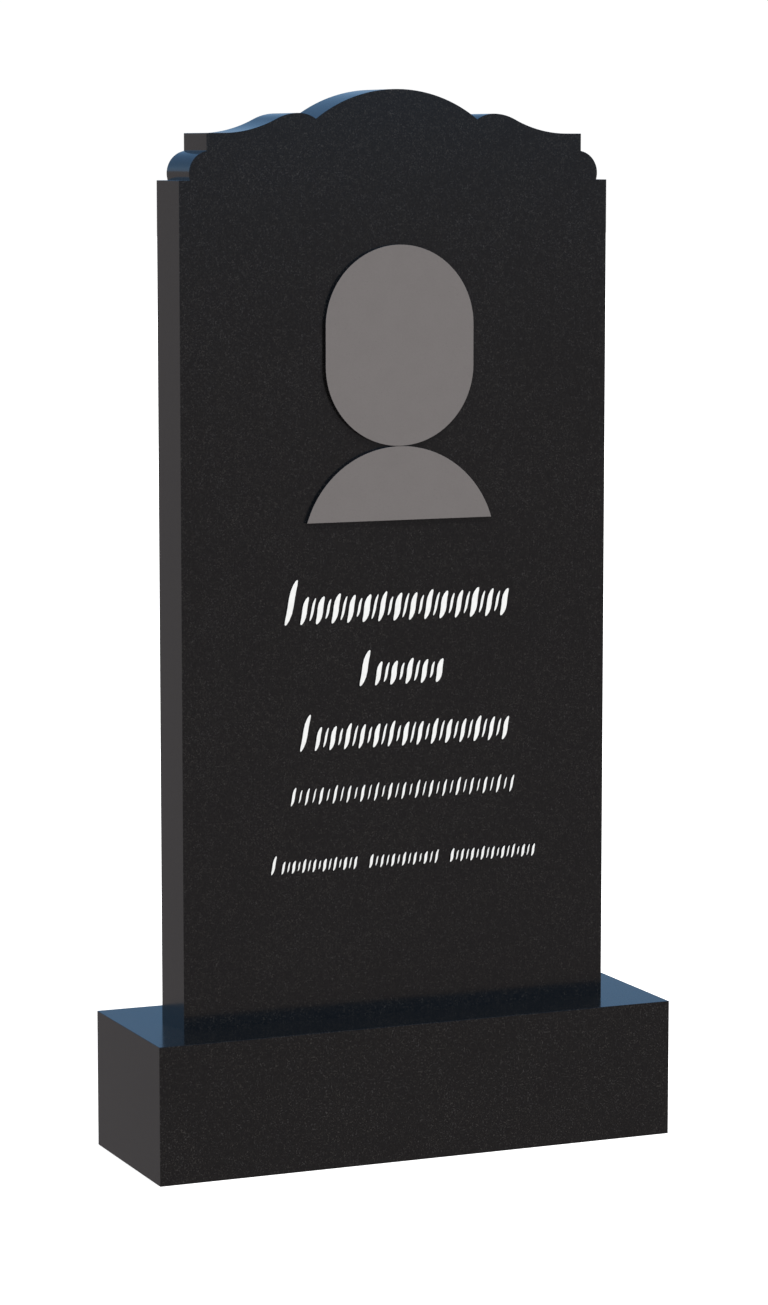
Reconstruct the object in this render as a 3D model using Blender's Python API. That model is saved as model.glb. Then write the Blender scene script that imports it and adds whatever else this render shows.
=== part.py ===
# Headstone of polished black stone: a plain base block, an upright slab with a shaped head,
# rows of raised strokes on its face, and a flat head-and-shoulders figure in two plates.
# Metres, +Z up. The front faces -Y, and the origin is the middle of the base's underside.

import math

import bmesh
import bpy

# Base block
BASE_LENGTH = 0.600
BASE_DEPTH = 0.200
BASE_HEIGHT = 0.150

# Upright slab, set in the middle of the base
SLAB_WIDTH = 0.496
SLAB_THICKNESS = 0.069
SLAB_HEIGHT = 1.000

# Narrow polished chamfer along the edges of base, slab and plates
ARRIS = 0.0008

# Room left between pieces that touch
SEAT_GAP = 0.0003

# Slab's head. Drops are measured down from its highest point, X from the centre line.
ARCH_RADIUS = 0.154
LOBE_X = 0.113
LOBE_DROP = 0.0256
LOBE_INNER_RADIUS = 0.0346
LOBE_OUTER_RADIUS = 0.055
SWEEP_RADIUS = 0.133
EAR_X = 0.217
EAR_DROP = 0.0467
SCROLL_X = 0.2127
SCROLL_DROP = 0.0890
SCROLL_RADIUS = 0.024
SHOULDER_DROP = 0.0962

# Figure plates. Heights are above the slab's foot.
PLATE_THICKNESS = 0.005
FIGURE_X = 0.001
HEAD_RADIUS = 0.0863
HEAD_LOWER_CENTRE = 0.7063
HEAD_UPPER_CENTRE = 0.7493
SHOULDERS_RADIUS = 0.1131
SHOULDERS_CHORD_HEIGHT = 0.540

# Raised strokes. A full stroke and a fine one take turns along a row.
STROKE_RELIEF = 0.002
STROKE_ROOT = 0.001
STROKE_SLANT = math.tan(math.radians(16))
STROKE_SWING = 0.15
STROKE_SWELL = 2.8
FINE_STROKE_HEIGHT = 0.72

# Each row: its foot above the slab's foot, its runs from left to right, the height of its
# strokes and of its first one, the width of full and fine strokes, the spacing, and the
# steps along one stroke
ROWS = (
    dict(foot=0.431, runs=((-0.1345, 0.1350),), height=0.0325, first=0.0490,
         full=0.0086, fine=0.0038, spacing=0.0092, steps=5),
    dict(foot=0.3615, runs=((-0.0475, 0.0570),), height=0.0280, first=0.0390,
         full=0.0080, fine=0.0038, spacing=0.0082, steps=5),
    dict(foot=0.2940, runs=((-0.1165, 0.1355),), height=0.0280, first=0.0400,
         full=0.0076, fine=0.0036, spacing=0.0082, steps=5),
    dict(foot=0.2355, runs=((-0.1265, 0.1410),), height=0.0200, first=0.0200,
         full=0.0057, fine=0.0031, spacing=0.0078, steps=4),
    dict(foot=0.1620, runs=((-0.1495, -0.0460), (-0.0350, 0.0500), (0.0610, 0.1665)),
         height=0.0150, first=0.0205, full=0.0054, fine=0.0030, spacing=0.0062, steps=4),
)

# How far a polygon's side may stray from the true curve
CURVE_TOLERANCE = 0.00005

# Edges that turn by more than this are sharp
SHARP_ANGLE = math.radians(30)

SLAB_FOOT = BASE_HEIGHT + SEAT_GAP
SLAB_TOP = SLAB_FOOT + SLAB_HEIGHT
SLAB_FACE = -SLAB_THICKNESS / 2


def clear_scene():
    for thing in list(bpy.data.objects):
        bpy.data.objects.remove(thing, do_unlink=True)


def make_material(name, colour, roughness):
    material = bpy.data.materials.new(name)
    material.use_nodes = True
    shader = material.node_tree.nodes["Principled BSDF"]
    shader.inputs["Base Color"].default_value = (*colour, 1.0)
    shader.inputs["Roughness"].default_value = roughness
    shader.inputs["Metallic"].default_value = 0.0
    return material


def add_object(name, bm, materials):
    mesh = bpy.data.meshes.new(name)
    bm.to_mesh(mesh)
    bm.free()
    for material in materials:
        mesh.materials.append(material)
    thing = bpy.data.objects.new(name, mesh)
    bpy.context.scene.collection.objects.link(thing)
    return thing


def shade_round(thing):
    thing.data.shade_smooth()
    thing.data.set_sharp_from_angle(angle=SHARP_ANGLE)


def arc(centre, radius, start, end):
    step = 2 * math.acos(1 - CURVE_TOLERANCE / radius)
    count = max(1, math.ceil(abs(end - start) / step))
    angles = [start + (end - start) * i / count for i in range(count + 1)]
    return [(centre[0] + radius * math.cos(a), centre[1] + radius * math.sin(a)) for a in angles]


def angle_to(centre, point):
    return math.atan2(point[1] - centre[1], point[0] - centre[0])


def upper_crossing(centre_a, radius_a, centre_b, radius_b):
    # The higher of the two points where two circles cross
    dx = centre_b[0] - centre_a[0]
    dz = centre_b[1] - centre_a[1]
    distance = math.hypot(dx, dz)
    along = (distance ** 2 + radius_a ** 2 - radius_b ** 2) / (2 * distance)
    aside = math.sqrt(radius_a ** 2 - along ** 2)
    x = centre_a[0] + (along * dx - aside * dz) / distance
    z = centre_a[1] + (along * dz + aside * dx) / distance
    return x, z


def join_runs(*runs):
    # One list of points out of several that may share their end points
    points = []
    for run in runs:
        for point in run:
            if not points or math.dist(point, points[-1]) > CURVE_TOLERANCE:
                points.append(point)
    return points


def scroll_run():
    # The round bulge between the slab's shoulder and the upright side of its head
    centre = (SCROLL_X, SLAB_TOP - SCROLL_DROP)
    start = math.asin((SCROLL_DROP - SHOULDER_DROP) / SCROLL_RADIUS)
    end = math.acos((EAR_X - SCROLL_X) / SCROLL_RADIUS)
    return arc(centre, SCROLL_RADIUS, start, end)


def sweep_and_lobe_run():
    # From the ear's flat top a hollow sweep rises into the lobe, tangent to it
    lobe_top = SLAB_TOP - LOBE_DROP
    lobe = (LOBE_X, lobe_top - LOBE_OUTER_RADIUS)
    sweep_z = SLAB_TOP - EAR_DROP + SWEEP_RADIUS
    reach = LOBE_OUTER_RADIUS + SWEEP_RADIUS
    sweep = (LOBE_X + math.sqrt(reach ** 2 - (sweep_z - lobe[1]) ** 2), sweep_z)
    rise = angle_to(lobe, sweep)
    hollow = arc(sweep, SWEEP_RADIUS, -math.pi / 2, rise - math.pi)
    crown = arc(lobe, LOBE_OUTER_RADIUS, rise, math.pi / 2)
    return join_runs(hollow, crown)


def valley_and_arch_run():
    # The lobe's inner side falls into the valley, and the great arch rises from it
    lobe = (LOBE_X, SLAB_TOP - LOBE_DROP - LOBE_INNER_RADIUS)
    arch = (0.0, SLAB_TOP - ARCH_RADIUS)
    valley = upper_crossing(arch, ARCH_RADIUS, lobe, LOBE_INNER_RADIUS)
    inner = arc(lobe, LOBE_INNER_RADIUS, math.pi / 2, angle_to(lobe, valley))
    crown = arc(arch, ARCH_RADIUS, angle_to(arch, valley), math.pi / 2)
    return join_runs(inner, crown)


def slab_outline():
    foot = [(SLAB_WIDTH / 2, SLAB_FOOT), (SLAB_WIDTH / 2, SLAB_TOP - SHOULDER_DROP)]
    ear = [(EAR_X, SLAB_TOP - EAR_DROP)]
    right = join_runs(foot, scroll_run(), ear, sweep_and_lobe_run(), valley_and_arch_run())
    left = [(-x, z) for x, z in reversed(right[:-1])]
    return right + left


def head_outline():
    upper = arc((FIGURE_X, SLAB_FOOT + HEAD_UPPER_CENTRE), HEAD_RADIUS, 0.0, math.pi)
    lower = arc((FIGURE_X, SLAB_FOOT + HEAD_LOWER_CENTRE), HEAD_RADIUS, math.pi, 2 * math.pi)
    return upper + lower


def shoulders_outline():
    # A disc just below the head plate, cut off flat
    head_foot = SLAB_FOOT + HEAD_LOWER_CENTRE - HEAD_RADIUS
    centre = (FIGURE_X, head_foot - SEAT_GAP - SHOULDERS_RADIUS)
    chord = SLAB_FOOT + SHOULDERS_CHORD_HEIGHT
    start = math.asin((chord - centre[1]) / SHOULDERS_RADIUS)
    return arc(centre, SHOULDERS_RADIUS, start, math.pi - start)


def extrude_outline(bm, outline, back, front):
    corners = [bm.verts.new((x, back, z)) for x, z in outline]
    face = bm.faces.new(corners)
    grown = bmesh.ops.extrude_face_region(bm, geom=[face])
    moved = [item for item in grown["geom"] if isinstance(item, bmesh.types.BMVert)]
    bmesh.ops.translate(bm, vec=(0.0, front - back, 0.0), verts=moved)


def rim_edges(bm, depths):
    # Edges that lie in one of the given planes across the thickness
    edges = []
    for edge in bm.edges:
        a, b = (vert.co.y for vert in edge.verts)
        if any(abs(a - depth) < CURVE_TOLERANCE and abs(b - depth) < CURVE_TOLERANCE
               for depth in depths):
            edges.append(edge)
    return edges


def break_edges(bm, edges):
    bmesh.ops.bevel(bm, geom=edges, offset=ARRIS, segments=1, profile=0.5, affect="EDGES")
    bmesh.ops.recalc_face_normals(bm, faces=bm.faces)


def make_plate(name, outline, back, front, arris_depths, material):
    bm = bmesh.new()
    extrude_outline(bm, outline, back, front)
    break_edges(bm, rim_edges(bm, arris_depths))
    plate = add_object(name, bm, [material])
    shade_round(plate)
    return plate


def make_base(material):
    bm = bmesh.new()
    bmesh.ops.create_cube(bm, size=1.0)
    bmesh.ops.scale(bm, vec=(BASE_LENGTH, BASE_DEPTH, BASE_HEIGHT), verts=bm.verts)
    bmesh.ops.translate(bm, vec=(0.0, 0.0, BASE_HEIGHT / 2), verts=bm.verts)
    break_edges(bm, bm.edges[:])
    return add_object("base", bm, [material])


def stroke_outline(foot_x, foot_z, height, width, steps):
    # A leaning stroke with a slight swing, full in the middle and round at both ends
    right = []
    left = []
    for i in range(steps + 1):
        t = (1 - math.cos(math.pi * i / steps)) / 2
        half = width / 2 * math.sqrt(1 - abs(2 * t - 1) ** STROKE_SWELL)
        swing = STROKE_SWING * width * math.sin(2 * math.pi * t)
        x = foot_x + height * t * STROKE_SLANT + swing
        z = foot_z + height * t
        right.append((x + half, z))
        if 0 < i < steps:
            left.append((x - half, z))
    return right + left[::-1]


def full_stroke(row, foot_x, number, leads):
    height = row["first"] if leads else row["height"] * (0.95 + 0.05 * math.cos(2.1 * number))
    width = row["full"] * (0.90 + 0.10 * math.cos(1.3 * number))
    return stroke_outline(foot_x, SLAB_FOOT + row["foot"], height, width, row["steps"])


def fine_stroke(row, foot_x, number):
    # Shorter than its neighbours, at the middle of the row's height
    height = row["height"] * (FINE_STROKE_HEIGHT + 0.10 * math.cos(1.7 * number))
    lift = (row["height"] - height) / 2
    foot_z = SLAB_FOOT + row["foot"] + lift
    return stroke_outline(foot_x + lift * STROKE_SLANT, foot_z, height, row["fine"], row["steps"])


def row_strokes(row):
    # Every second stroke is a fine one. The tall first stroke has none beside it.
    outlines = []
    tall = row["first"] > row["height"]
    for run_number, (start, end) in enumerate(row["runs"]):
        first = start + row["full"] / 2
        room = end - row["full"] / 2 - row["height"] * STROKE_SLANT - first
        count = 2 * round(room / row["spacing"] / 2)
        for i in range(count + 1):
            foot_x = first + room * i / count
            if i % 2 == 0:
                leads = i == 0 and run_number == 0
                outlines.append(full_stroke(row, foot_x, i, leads))
            elif i > 1 or run_number > 0 or not tall:
                outlines.append(fine_stroke(row, foot_x, i))
    return outlines


def make_strokes(stone, paint):
    # A guide that the slab takes up: painted fronts on sides of bare stone
    bm = bmesh.new()
    for row in ROWS:
        for outline in row_strokes(row):
            extrude_outline(bm, outline, SLAB_FACE + STROKE_ROOT, SLAB_FACE - STROKE_RELIEF)
    bmesh.ops.recalc_face_normals(bm, faces=bm.faces)
    for face in bm.faces:
        face.material_index = 1 if face.normal.y < -0.9 else 0
    guide = add_object("stroke_guide", bm, [stone, paint])
    guide.hide_render = True
    guide.display_type = "WIRE"
    return guide


def make_stele(stone, paint):
    back = SLAB_THICKNESS / 2
    stele = make_plate("stele", slab_outline(), back, SLAB_FACE, (back, SLAB_FACE), stone)
    union = stele.modifiers.new("raised strokes", "BOOLEAN")
    union.operation = "UNION"
    union.solver = "EXACT"
    union.material_mode = "TRANSFER"
    union.object = make_strokes(stone, paint)
    return stele


def make_figure(material):
    back = SLAB_FACE - SEAT_GAP
    front = back - PLATE_THICKNESS
    make_plate("portrait_head", head_outline(), back, front, (front,), material)
    make_plate("portrait_shoulders", shoulders_outline(), back, front, (front,), material)


def main():
    clear_scene()
    stone = make_material("polished black stone", (0.017, 0.017, 0.019), 0.18)
    paint = make_material("white paint", (0.86, 0.86, 0.85), 0.45)
    plate = make_material("grey figure plate", (0.17, 0.165, 0.16), 0.40)
    make_base(stone)
    make_stele(stone, paint)
    make_figure(plate)


main()
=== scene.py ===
import math

import bmesh
import bpy
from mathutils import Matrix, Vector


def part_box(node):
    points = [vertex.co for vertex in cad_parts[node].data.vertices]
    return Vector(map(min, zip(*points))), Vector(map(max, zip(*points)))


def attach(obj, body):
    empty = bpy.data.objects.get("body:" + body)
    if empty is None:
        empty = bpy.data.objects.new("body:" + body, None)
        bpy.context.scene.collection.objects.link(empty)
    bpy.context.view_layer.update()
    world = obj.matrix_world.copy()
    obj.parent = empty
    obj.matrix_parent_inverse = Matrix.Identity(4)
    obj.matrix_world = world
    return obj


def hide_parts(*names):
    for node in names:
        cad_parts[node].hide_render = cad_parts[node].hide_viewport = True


# Headstone of polished black granite: its finished surfaces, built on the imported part.
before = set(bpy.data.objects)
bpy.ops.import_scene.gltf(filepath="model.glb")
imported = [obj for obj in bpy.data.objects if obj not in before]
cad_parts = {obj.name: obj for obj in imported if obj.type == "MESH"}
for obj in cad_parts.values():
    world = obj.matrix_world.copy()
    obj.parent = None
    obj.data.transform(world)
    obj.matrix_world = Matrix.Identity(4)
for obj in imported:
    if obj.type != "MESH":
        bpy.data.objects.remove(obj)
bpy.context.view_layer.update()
print("stage 1: the packed part is loaded")

# How finely every piece is drawn
drawing = {
    "tolerance": 0.00001,                 # how far a straight side may stray from the true curve
    "sharpAngle": math.radians(40),       # edges that turn by less are shaded as one surface
    "facing": 0.9,                        # a face looks down or forwards past this share
    "reach": 0.001,                       # corners this near to a level lie on it
}


def pick(kind, test):                     # selects what passes the test in the piece being edited
    bpy.ops.mesh.select_mode(type=kind)
    bpy.ops.mesh.select_all(action="DESELECT")
    mesh = bpy.context.object.data
    shape = bmesh.from_edit_mesh(mesh)
    items = {"VERT": shape.verts, "EDGE": shape.edges, "FACE": shape.faces}[kind]
    for item in items:
        if test(item):
            item.select_set(True)
    shape.select_flush_mode()
    bmesh.update_edit_mesh(mesh)


def startPoint(name, x, y, z):            # one vertex, to draw an outline from
    bpy.ops.object.select_all(action="DESELECT")
    bpy.ops.mesh.primitive_plane_add(size=0.01, location=(x, y, z))
    piece = bpy.context.object
    piece.name = name
    piece.data.name = name
    bpy.ops.object.transform_apply(location=True, rotation=True, scale=True)
    bpy.ops.object.mode_set(mode="EDIT")
    bpy.ops.mesh.select_mode(type="VERT")
    bpy.ops.mesh.select_all(action="SELECT")
    bpy.ops.mesh.merge(type="CENTER")
    return piece


def penPlace():
    shape = bmesh.from_edit_mesh(bpy.context.object.data)
    return next(corner.co.copy() for corner in shape.verts if corner.select)


def lineTo(x, z):
    pen = penPlace()
    move = (x - pen.x, 0, z - pen.z)
    bpy.ops.mesh.extrude_region_move(TRANSFORM_OT_translate={"value": move})


def arcAbout(x, z, turn):                 # swings the pen, anticlockwise as seen from the front
    pen = penPlace()
    radius = math.hypot(pen.x - x, pen.z - z)
    step = 2 * math.acos(1 - drawing["tolerance"] / radius)
    bpy.ops.mesh.spin(steps=math.ceil(abs(turn) / step), angle=turn,
                      center=(x, pen.y, z), axis=(0, 1, 0))


def thicken(depth):                       # fills the closed outline and pulls it back along Y
    bpy.ops.mesh.select_all(action="SELECT")
    bpy.ops.mesh.remove_doubles(threshold=drawing["tolerance"])
    bpy.ops.mesh.edge_face_add()
    bpy.ops.mesh.select_all(action="SELECT")
    bpy.ops.mesh.extrude_region_move(TRANSFORM_OT_translate={"value": (0, depth, 0)})
    bpy.ops.mesh.select_all(action="SELECT")
    bpy.ops.mesh.normals_make_consistent(inside=False)
    bpy.ops.object.mode_set(mode="OBJECT")


def applyModifier(piece, kind, **settings):
    modifier = piece.modifiers.new(kind.lower(), kind)
    for key, value in settings.items():
        setattr(modifier, key, value)
    bpy.ops.object.modifier_apply(modifier=modifier.name)


def roundEdges(piece, look, finish, keptSharp):
    sharp = drawing["sharpAngle"]
    bpy.ops.object.mode_set(mode="EDIT")
    pick("EDGE", lambda edge: edge.calc_face_angle() > sharp and not keptSharp(edge))
    bpy.ops.mesh.bevel(offset=look["arris"], segments=look["arrisSteps"], affect="EDGES",
                       material=finish)
    bpy.ops.object.mode_set(mode="OBJECT")
    bpy.ops.object.shade_smooth_by_angle(angle=sharp)
    applyModifier(piece, "WEIGHTED_NORMAL", keep_sharp=True)


def giveFinish(piece, finish, test):      # puts the faces that pass the test in another material
    for face in piece.data.polygons:
        if test(face):
            face.material_index = finish


def fit(piece, slot, *nodes):             # the piece stands for these nodes of the part
    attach(piece, "root")
    if nodes:
        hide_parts(*nodes)
    print("  made", piece.name, len(piece.data.polygons), "faces")


class Wire:                               # a node's output that takes part in sums
    def __init__(self, tree, socket=None):
        self.tree = tree
        self.socket = socket

    def node(self, kind, settings=None, sockets=None, output=0):
        made = self.tree.nodes.new("ShaderNode" + kind)
        for key, value in (settings or {}).items():
            if key == "stops":
                setStops(made.color_ramp.elements, value)
            else:
                setattr(made, key, value)
        for key, value in (sockets or {}).items():
            if isinstance(value, Wire):
                self.tree.links.new(value.socket, made.inputs[key])
            else:
                made.inputs[key].default_value = value
        return Wire(self.tree, made.outputs[output])

    def sum(self, operation, first, second=0.0):
        return self.node("Math", {"operation": operation}, {0: first, 1: second})

    def __add__(self, other):
        return self.sum("ADD", self, other)

    def __sub__(self, other):
        return self.sum("SUBTRACT", self, other)

    def __mul__(self, other):
        return self.sum("MULTIPLY", self, other)

    def __radd__(self, other):
        return self.sum("ADD", other, self)

    def __rsub__(self, other):
        return self.sum("SUBTRACT", other, self)

    def __rmul__(self, other):
        return self.sum("MULTIPLY", other, self)

    def __abs__(self):
        return self.sum("ABSOLUTE", self)

    def ramp(self, low, high):            # 0 at low and 1 at high, with soft ends
        return self.node("MapRange", {"interpolation_type": "SMOOTHSTEP"},
                         {"Value": self, "From Min": low, "From Max": high})

    def noise(self, scale, detail=2.0, output="Fac"):
        return self.node("TexNoise", None,
                         {"Vector": self, "Scale": scale, "Detail": detail}, output)

    def vector(self, operation, first, second):
        return self.node("VectorMath", {"operation": operation}, {0: first, 1: second})

    def mix(self, share, first, second):  # a colour between two colours
        return self.node("Mix", {"data_type": "RGBA"}, {0: share, 6: first, 7: second}, 2)


def setStops(elements, stops):
    while len(elements) < len(stops):
        elements.new(0.5)
    for element, (place, colour) in zip(elements, stops):
        element.position = place
        element.color = colour


def shade(red, green, blue):
    return (red, green, blue, 1.0)


def startMaterial(name):                  # an empty material, and the place on the piece
    material = bpy.data.materials.new(name)
    material.use_nodes = True
    material.node_tree.nodes.clear()
    return material, Wire(material.node_tree).node("TexCoord", output="Object")


def endMaterial(material, here, sockets):
    surface = here.node("BsdfPrincipled", None, sockets, "BSDF")
    end = material.node_tree.nodes.new("ShaderNodeOutputMaterial")
    material.node_tree.links.new(surface.socket, end.inputs["Surface"])
    return material


graniteLook = {
    "dust": shade(0.0180, 0.0168, 0.0150),        # the finest grains
    "brown": shade(0.0410, 0.0380, 0.0335),
    "grey": shade(0.0400, 0.0390, 0.0385),
    "bloom": shade(0.11, 0.11, 0.11),             # film on unpolished stone
    "curl": 0.0020,                               # how far the flecks are bent
    "curlScale": 140,
    "lineScale": 290,                             # the curls that the flecks follow
    "lineWidth": 0.075,
    "cutScale": 520,                              # what cuts the curls into short flecks
    "cutSpan": (0.48, 0.64),                      # every span runs from none to all, by noise
    "grainScale": 560,
    "grainSpan": (0.44, 0.72),
    "cloudScale": 14,                             # wide patches of more or fewer flecks
    "cloudSpan": (0.35, 0.65),
    "clumpScale": 150,                            # and narrow ones
    "clumpSpan": (0.36, 0.66),
    "tintScale": 70,
    "tintSpan": (0.42, 0.58),
    "bumpHeight": 0.00005,
    "index": 1.52,
}


def granite(name, ground, flecks, dust, roughness, bloom=0.0):
    material, here = startMaterial(name)
    look = graniteLook
    bend = here.noise(look["curlScale"], 1, "Color")
    bend = here.vector("SUBTRACT", bend, (0.5, 0.5, 0.5))
    bend = here.vector("MULTIPLY", bend, (look["curl"],) * 3)
    bent = here.vector("ADD", here, bend)
    line = abs(bent.noise(look["lineScale"], 1) - 0.5).ramp(look["lineWidth"], 0)
    cut = here.noise(look["cutScale"], 1).ramp(*look["cutSpan"])
    cloud = 0.5 + 0.3 * here.noise(look["cloudScale"], 3).ramp(*look["cloudSpan"])
    cloud = cloud + 0.8 * here.noise(look["clumpScale"], 2).ramp(*look["clumpSpan"])
    fleck = line * cut * cloud * flecks
    grain = here.noise(look["grainScale"], 2).ramp(*look["grainSpan"]) * cloud * dust
    warmth = here.noise(look["tintScale"], 1).ramp(*look["tintSpan"])
    tint = here.mix(warmth, look["brown"], look["grey"])
    colour = here.mix(grain, ground, look["dust"])
    colour = here.mix(fleck, colour, tint)
    if bloom:
        colour = here.mix(bloom, colour, look["bloom"])
    gloss = roughness + 0.02 * cloud + 0.06 * fleck + 0.015 * grain
    relief = here.node("Bump", None, {"Strength": 0.06, "Distance": look["bumpHeight"],
                                      "Height": fleck + 0.3 * grain}, "Normal")
    return endMaterial(material, here, {"Base Color": colour, "Roughness": gloss,
                                        "Normal": relief, "IOR": look["index"]})


baseBlack = shade(0.0028, 0.0026, 0.0026)         # black rock between the crystals
slabBlack = shade(0.0038, 0.0035, 0.0036)
baseStone = granite("baseStone", baseBlack, 0.52, 0.60, 0.125)
slabStone = granite("slabStone", slabBlack, 0.385, 0.50, 0.125)
edgeStone = granite("edgeStone", slabBlack, 0.6, 0.9, 0.18)
sawnStone = granite("sawnStone", slabBlack, 0.5, 0.5, 0.62, 0.35)


plateLook = {
    "grey": shade(0.153, 0.138, 0.133),
    "pale": shade(0.175, 0.159, 0.154),
    "pit": shade(0.070, 0.066, 0.064),
    "patchScale": 45,
    "patchSpan": (0.3, 0.7),
    "grainScale": 1700,
    "grainSpan": (0.3, 0.7),
    "pitScale": 900,
    "pitSpan": (0.66, 0.74),
    "bumpHeight": 0.0001,
    "index": 1.45,
}


def etchedGrey(name):                     # the stone's face broken up by fine blasting
    material, here = startMaterial(name)
    look = plateLook
    patch = here.noise(look["patchScale"], 3).ramp(*look["patchSpan"])
    grain = here.noise(look["grainScale"], 3).ramp(*look["grainSpan"])
    pits = here.noise(look["pitScale"], 2).ramp(*look["pitSpan"])
    colour = here.mix(0.2 * patch + 0.8 * grain, look["grey"], look["pale"])
    colour = here.mix(pits * 0.6, colour, look["pit"])
    relief = here.node("Bump", None, {"Strength": 0.25, "Distance": look["bumpHeight"],
                                      "Height": grain - pits}, "Normal")
    return endMaterial(material, here, {"Base Color": colour, "Roughness": 0.50 + 0.08 * grain,
                                        "Normal": relief, "IOR": look["index"]})


plateGrey = etchedGrey("plateGrey")


paintLook = {
    "white": shade(0.88, 0.88, 0.87),
    "thin": shade(0.79, 0.79, 0.775),
    "patchScale": 210,
    "patchSpan": (0.35, 0.75),
    "brushLean": math.radians(-16),               # the brush follows the strokes
    "brushScale": (2600, 2600, 220),
    "bumpHeight": 0.00008,
    "index": 1.45,
}


def whitePaint(name):
    material, here = startMaterial(name)
    look = paintLook
    patch = here.noise(look["patchScale"], 3).ramp(*look["patchSpan"])
    brush = here.node("Mapping", None, {"Vector": here, "Scale": look["brushScale"],
                                        "Rotation": (0, look["brushLean"], 0)}).noise(1, 2)
    colour = here.mix(0.6 * patch + 0.3 * brush, look["white"], look["thin"])
    relief = here.node("Bump", None, {"Strength": 0.2, "Distance": look["bumpHeight"],
                                      "Height": brush + patch}, "Normal")
    return endMaterial(material, here, {"Base Color": colour, "Roughness": 0.38 + 0.12 * patch,
                                        "Normal": relief, "IOR": look["index"]})


paint = whitePaint("whitePaint")
print("stage 2: the finishes are mixed")


# The base is one plain block
baseShape = {
    "arris": 0.0005,
    "arrisSteps": 3,
}


def makeBase():
    low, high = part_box("base")
    bpy.ops.object.select_all(action="DESELECT")
    bpy.ops.mesh.primitive_cube_add(size=1, location=(low + high) / 2, scale=high - low)
    piece = bpy.context.object
    piece.name = "baseBlock"
    piece.data.name = "baseBlock"
    bpy.ops.object.transform_apply(location=True, rotation=True, scale=True)
    for finish in (baseStone, edgeStone, sawnStone):
        piece.data.materials.append(finish)
    giveFinish(piece, 2, lambda face: face.normal.z < -drawing["facing"])
    roundEdges(piece, baseShape, 1, lambda edge: False)
    fit(piece, "stone", "base")


makeBase()


# The slab. Drops are measured down from its highest point, X from the centre line.
slabShape = {
    "archRadius": 0.154,
    "lobeX": 0.113,
    "lobeDrop": 0.0256,
    "lobeInnerRadius": 0.0346,
    "lobeOuterRadius": 0.055,
    "sweepRadius": 0.133,
    "earX": 0.217,
    "earDrop": 0.0467,
    "scrollX": 0.2127,
    "scrollDrop": 0.0890,
    "scrollRadius": 0.024,
    "shoulderDrop": 0.0962,
    "arris": 0.0005,
    "arrisSteps": 3,
}


def drawSide(top, side):                  # shoulder, scroll and ear
    s = slabShape
    lineTo(side, top - s["shoulderDrop"])
    start = math.asin((s["scrollDrop"] - s["shoulderDrop"]) / s["scrollRadius"])
    end = math.acos((s["earX"] - s["scrollX"]) / s["scrollRadius"])
    lineTo(s["scrollX"] + s["scrollRadius"] * math.cos(start), top - s["shoulderDrop"])
    arcAbout(s["scrollX"], top - s["scrollDrop"], end - start)
    lineTo(s["earX"], top - s["earDrop"])


def drawCrest(top):                       # hollow sweep, lobe and half of the great arch
    s = slabShape
    lobeZ = top - s["lobeDrop"] - s["lobeOuterRadius"]
    sweepZ = top - s["earDrop"] + s["sweepRadius"]
    reach = s["lobeOuterRadius"] + s["sweepRadius"]
    sweepX = s["lobeX"] + math.sqrt(reach ** 2 - (sweepZ - lobeZ) ** 2)
    rise = math.atan2(sweepZ - lobeZ, sweepX - s["lobeX"])
    lineTo(sweepX, top - s["earDrop"])
    arcAbout(sweepX, sweepZ, rise - math.pi / 2)
    arcAbout(s["lobeX"], lobeZ, math.pi / 2 - rise)
    innerZ = top - s["lobeDrop"] - s["lobeInnerRadius"]
    archZ = top - s["archRadius"]
    across = math.hypot(s["lobeX"], innerZ - archZ)        # where lobe and arch cross
    along = (across ** 2 + s["archRadius"] ** 2 - s["lobeInnerRadius"] ** 2) / (2 * across)
    lean = math.atan2(innerZ - archZ, s["lobeX"])
    archAngle = lean + math.acos(along / s["archRadius"])
    valleyX = s["archRadius"] * math.cos(archAngle)
    valleyZ = archZ + s["archRadius"] * math.sin(archAngle)
    valleyAngle = math.atan2(valleyZ - innerZ, valleyX - s["lobeX"])
    arcAbout(s["lobeX"], innerZ, valleyAngle - math.pi / 2)
    arcAbout(0, archZ, math.pi / 2 - archAngle)


def makeSlab():
    low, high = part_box("stele")
    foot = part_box("base")[1].z            # the slab stands right on the base
    piece = startPoint("slab", 0, -high.y, foot)
    lineTo(high.x, foot)
    drawSide(high.z, high.x)
    drawCrest(high.z)
    bpy.ops.mesh.select_all(action="SELECT")
    bpy.ops.mesh.duplicate()
    bpy.ops.transform.resize(value=(-1, 1, 1), center_override=(0, 0, 0))
    thicken(2 * high.y)
    for finish in (slabStone, edgeStone, sawnStone):
        piece.data.materials.append(finish)
    level = foot + drawing["reach"]
    giveFinish(piece, 2, lambda face: (face.normal.z < -drawing["facing"]
                                       and face.center.z < level))
    roundEdges(piece, slabShape, 1,
               lambda edge: all(corner.co.z < level for corner in edge.verts))
    fit(piece, "stone", "stele")


makeSlab()
slabFace = -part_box("stele")[1].y
print("stage 3: base and slab stand")


# The blank figure: a head with straight sides and a cut-off disc for shoulders
plateShape = {
    "arris": 0.0005,
    "arrisSteps": 3,
}


def finishPlate(piece, node):
    thicken(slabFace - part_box(node)[0].y)
    for finish in (slabStone, plateGrey):
        piece.data.materials.append(finish)
    level = slabFace - drawing["reach"]
    roundEdges(piece, plateShape, 0,
               lambda edge: all(corner.co.y > level for corner in edge.verts))
    giveFinish(piece, 1, lambda face: face.normal.y < -drawing["facing"])
    fit(piece, "figure", node)


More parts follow.
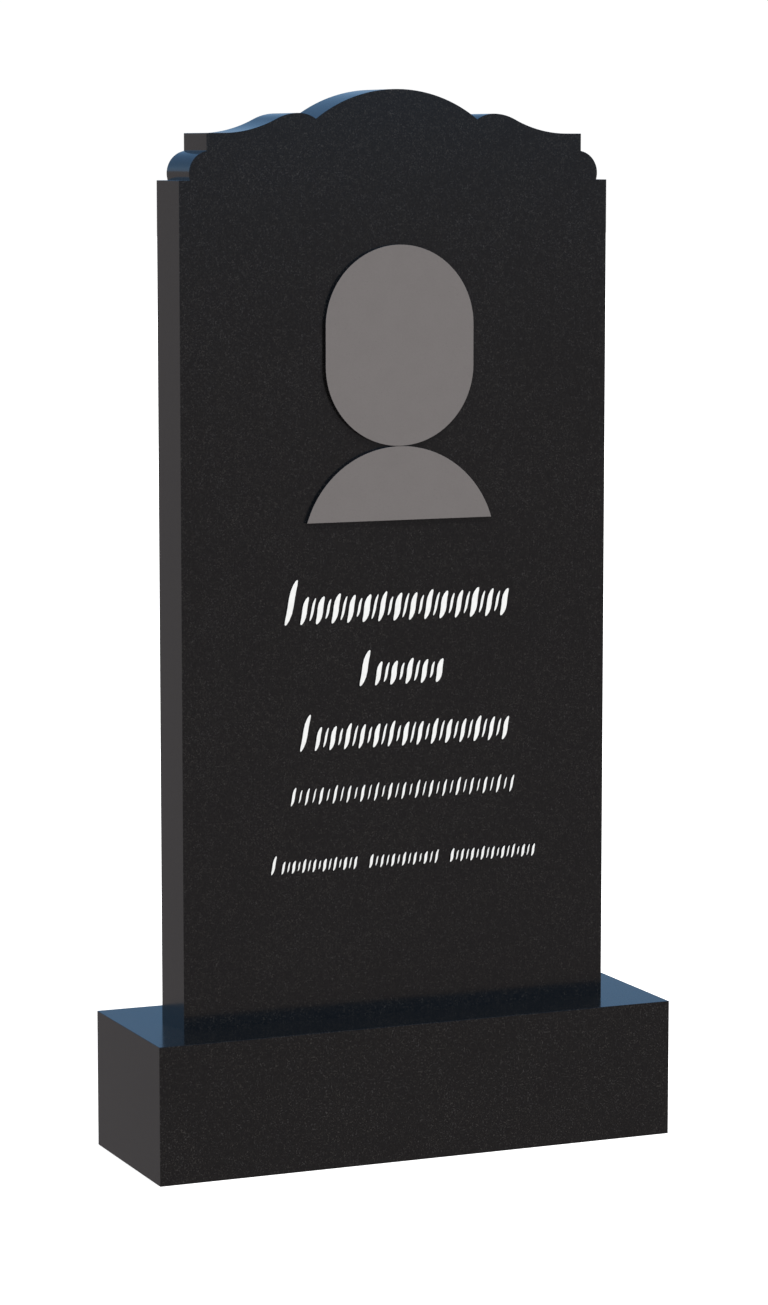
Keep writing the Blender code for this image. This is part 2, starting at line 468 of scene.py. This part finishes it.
def makeHead():
    low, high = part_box("portrait_head")
    middle = (low.x + high.x) / 2
    radius = high.x - middle
    piece = startPoint("headPlate", high.x, low.y, high.z - radius)
    arcAbout(middle, high.z - radius, math.pi)
    lineTo(low.x, low.z + radius)
    arcAbout(middle, low.z + radius, math.pi)
    finishPlate(piece, "portrait_head")


def makeShoulders():
    low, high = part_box("portrait_shoulders")
    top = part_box("portrait_head")[0].z    # touches the head plate
    height = top - low.z
    middle = (low.x + high.x) / 2
    reach = high.x - middle
    radius = (reach ** 2 + height ** 2) / (2 * height)
    start = math.atan2(low.z - top + radius, reach)
    piece = startPoint("shoulderPlate", high.x, low.y, low.z)
    arcAbout(middle, top - radius, math.pi - 2 * start)
    finishPlate(piece, "portrait_shoulders")


makeHead()
makeShoulders()
print("stage 4: the figure is on the slab")


# Rows of leaning strokes. A full stroke and a fine one take turns along a row.
strokeShape = {
    "relief": 0.002,
    "sunk": 0.0005,                       # how far a stroke reaches into the slab
    "slant": math.tan(math.radians(16)),
    "swing": 0.15,                        # sideways, as a share of the width
    "swell": 2.8,                         # the higher, the blunter the ends
    "fullHeight": 0.95,                   # shares of the row's height and of its full width
    "fineHeight": 0.72,
    "fullWidth": 0.90,
    "edge": 0.00025,
    "steps": 9,
    "painted": 0.4,                       # faces that look forwards past this share are white
    "tallWave": (0.05, 2.1),              # how far the full heights go up and down, and how fast
    "wideWave": (0.10, 1.3),              # the same for the full widths
    "fineWave": (0.10, 1.7),              # and for the fine heights
    "rows": (
        dict(name="strokesFirst", foot=0.431, runs=((-0.1345, 0.1350),), height=0.0325,
             first=0.0490, full=0.0069, fine=0.0030, spacing=0.0092),
        dict(name="strokesSecond", foot=0.3615, runs=((-0.0475, 0.0570),), height=0.0280,
             first=0.0390, full=0.0066, fine=0.0031, spacing=0.0082),
        dict(name="strokesThird", foot=0.2940, runs=((-0.1165, 0.1355),), height=0.0280,
             first=0.0400, full=0.0055, fine=0.0026, spacing=0.0083),
        dict(name="strokesFourth", foot=0.2355, runs=((-0.1265, 0.1410),), height=0.0200,
             first=0.0200, full=0.0033, fine=0.0018, spacing=0.0080),
        dict(name="strokesFifth", foot=0.1620,
             runs=((-0.1495, -0.0460), (-0.0350, 0.0500), (0.0610, 0.1665)), height=0.0150,
             first=0.0205, full=0.0033, fine=0.0018, spacing=0.0062),
    ),
}


def strokeOutline(x, z, height, width):   # full in the middle, round at the ends, a slight swing
    s = strokeShape
    right = []
    left = []
    for i in range(s["steps"] + 1):
        t = (1 - math.cos(math.pi * i / s["steps"])) / 2
        half = width / 2 * math.sqrt(1 - abs(2 * t - 1) ** s["swell"])
        middle = x + height * t * s["slant"] + s["swing"] * width * math.sin(2 * math.pi * t)
        right.append((middle + half, z + height * t))
        if 0 < i < s["steps"]:
            left.append((middle - half, z + height * t))
    return right + left[::-1]


def drawStroke(outline):                  # a filled circle with its corners moved to the outline
    bpy.ops.mesh.select_all(action="DESELECT")
    bpy.ops.mesh.primitive_circle_add(vertices=len(outline), radius=0.001, fill_type="NGON")
    shape = bmesh.from_edit_mesh(bpy.context.object.data)
    circle = next(face for face in shape.faces if face.select)
    for corner, (x, z) in zip(circle.verts, outline):
        corner.co = (x, slabFace - strokeShape["relief"], z)


def wave(name, i):
    depth, pace = strokeShape[name]
    return depth * math.cos(pace * i)


def rowOutlines(row, foot):
    s = strokeShape
    outlines = []
    tall = row["first"] > row["height"]
    for runNumber, (start, end) in enumerate(row["runs"]):
        first = start + row["full"] / 2
        room = end - row["full"] / 2 - row["height"] * s["slant"] - first
        count = 2 * round(room / row["spacing"] / 2)
        for i in range(count + 1):
            x = first + room * i / count
            leads = i == 0 and runNumber == 0
            if i % 2 == 0:
                height = row["height"] * (s["fullHeight"] + wave("tallWave", i))
                if leads:
                    height = row["first"]
                width = row["full"] * (s["fullWidth"] + wave("wideWave", i))
                outlines.append(strokeOutline(x, foot, height, width))
            elif i > 1 or runNumber > 0 or not tall:
                height = row["height"] * (s["fineHeight"] + wave("fineWave", i))
                lift = (row["height"] - height) / 2
                x = x + lift * s["slant"]
                outlines.append(strokeOutline(x, foot + lift, height, row["fine"]))
    return outlines


def makeStrokes(row):
    s = strokeShape
    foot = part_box("stele")[0].z + row["foot"]
    piece = startPoint(row["name"], 0, slabFace, foot)
    bpy.ops.mesh.delete(type="VERT")
    for outline in rowOutlines(row, foot):
        drawStroke(outline)
    bpy.ops.mesh.select_all(action="SELECT")
    bpy.ops.mesh.extrude_region_move(
        TRANSFORM_OT_translate={"value": (0, s["relief"] + s["sunk"], 0)})
    bpy.ops.mesh.select_all(action="SELECT")
    bpy.ops.mesh.normals_make_consistent(inside=False)
    front = slabFace - s["relief"] + drawing["tolerance"]
    pick("EDGE", lambda edge: all(corner.co.y < front for corner in edge.verts))
    bpy.ops.mesh.bevel(offset=s["edge"], segments=1, affect="EDGES", clamp_overlap=True)
    bpy.ops.object.mode_set(mode="OBJECT")
    for finish in (slabStone, paint):
        piece.data.materials.append(finish)
    giveFinish(piece, 1, lambda face: face.normal.y < -s["painted"])
    bpy.ops.object.shade_smooth_by_angle(angle=drawing["sharpAngle"])
    fit(piece, "inscription")


for row in strokeShape["rows"]:
    makeStrokes(row)
print("stage 5: the rows of strokes stand on the slab's face")


# Camera, floor and light
view = {
    "place": (-1.7088641, -4.0116154, 1.0845487),
    "tilt": math.radians(90 - 7.0884),
    "turn": math.radians(-23.0616),
    "lens": 111.203,
    "sensor": 36.0,
    "farthest": 200,
}


def makeCamera():
    bpy.ops.object.camera_add(location=view["place"], rotation=(view["tilt"], 0, view["turn"]))
    camera = bpy.context.object
    camera.data.lens = view["lens"]
    camera.data.sensor_width = view["sensor"]
    camera.data.clip_end = view["farthest"]
    bpy.context.scene.camera = camera


studio = {
    "floorSize": 90.0,
    "paper": shade(0.90, 0.90, 0.895),    # the floor is lightly mottled between these
    "paperShade": shade(0.88, 0.88, 0.88),
    "paperScale": 3,
    "paperSpan": (0.3, 0.7),
    "floorGlow": 0.70,                    # the floor is a lit sheet, so shadows on it stay faint
    "ambient": shade(0.74, 0.74, 0.74),
    "backdrop": shade(1.02, 1.02, 1.02),  # what the camera sees behind the stone
    "sunShare": 0.65,                     # light on a surface square to the key light
    "sunRise": math.radians(51.5),
    "sunSide": math.radians(-16),         # how far it stands to the left of straight ahead
    "sunAngle": math.radians(10),
    "horizon": (0.0400, 0.0230),          # the horizon's height, and how much it rises to the back
    "wallFront": shade(0.272, 0.247, 0.256),   # below the horizon, what the stone's front mirrors
    "wallBack": shade(0.279, 0.261, 0.268),    # and what its sides mirror
    "wallTop": shade(0.289, 0.269, 0.275),     # the walls are paler just below the horizon
    "wallTurn": (-0.9, -0.2),             # from front to back, by the direction's Y
    "wallTopSpan": (-0.12, -0.03),        # from wall to its paler top, by the height
    "horizonSpan": (-0.001, 0.001),       # from wall to sky, by the height
    "sky": (                              # above it, by the height
        (0.000, shade(0.31, 0.45, 0.64)),
        (0.075, shade(0.27, 0.45, 0.69)),
        (0.118, shade(0.225, 0.41, 0.66)),
        (0.152, shade(0.185, 0.35, 0.585)),
        (0.194, shade(0.158, 0.315, 0.54)),
        (0.284, shade(0.132, 0.278, 0.505)),
        (1.000, shade(0.125, 0.270, 0.490)),
    ),
}


def makeFloor():
    material, here = startMaterial("paleFloor")
    patch = here.noise(studio["paperScale"], 3).ramp(*studio["paperSpan"])
    colour = here.mix(patch, studio["paper"], studio["paperShade"])
    endMaterial(material, here, {"Base Color": colour, "Roughness": 0.85 + 0.1 * patch,
                                 "Emission Color": shade(1, 1, 1),
                                 "Emission Strength": studio["floorGlow"]})
    bpy.ops.object.select_all(action="DESELECT")
    bpy.ops.mesh.primitive_plane_add(size=studio["floorSize"])
    floor = bpy.context.object
    floor.name = "floor"
    floor.data.materials.append(material)
    floor.visible_glossy = False          # the polish mirrors the studio and not the paper floor
    floor.visible_diffuse = False


def makeLight():
    rise, side = studio["sunRise"], studio["sunSide"]
    bpy.ops.object.light_add(type="SUN", rotation=(math.pi / 2 - rise, 0, -side))
    key = bpy.context.object
    key.name = "keyLight"
    key.data.energy = math.pi * studio["sunShare"]
    key.data.angle = studio["sunAngle"]
    key.visible_glossy = False
    world = bpy.data.worlds.new("studioWorld")
    bpy.context.scene.world = world
    world.use_nodes = True
    world.node_tree.nodes.clear()
    air = Wire(world.node_tree)
    seen = air.node("LightPath", output="Is Camera Ray")
    mirrored = air.node("LightPath", output="Is Glossy Ray")
    gaze = air.node("TexCoord", output="Generated")
    back = gaze.node("SeparateXYZ", None, {0: gaze}, "Y")
    level, slope = studio["horizon"]
    height = gaze.node("SeparateXYZ", None, {0: gaze}, "Z") - level - slope * back
    wall = air.mix(back.ramp(*studio["wallTurn"]), studio["wallFront"], studio["wallBack"])
    wall = air.mix(height.ramp(*studio["wallTopSpan"]), wall, studio["wallTop"])
    sky = air.node("ValToRGB", {"stops": studio["sky"]}, {"Fac": height})
    around = air.mix(height.ramp(*studio["horizonSpan"]), wall, sky)
    colour = air.mix(mirrored, studio["ambient"], around)
    colour = air.mix(seen, colour, studio["backdrop"])
    glow = air.node("Background", None, {"Color": colour, "Strength": 1.0})
    end = world.node_tree.nodes.new("ShaderNodeOutputWorld")
    world.node_tree.links.new(glow.socket, end.inputs["Surface"])


makeCamera()
makeFloor()
makeLight()
bpy.context.scene.view_settings.view_transform = "Standard"
print("stage 6: camera, floor and light are set")
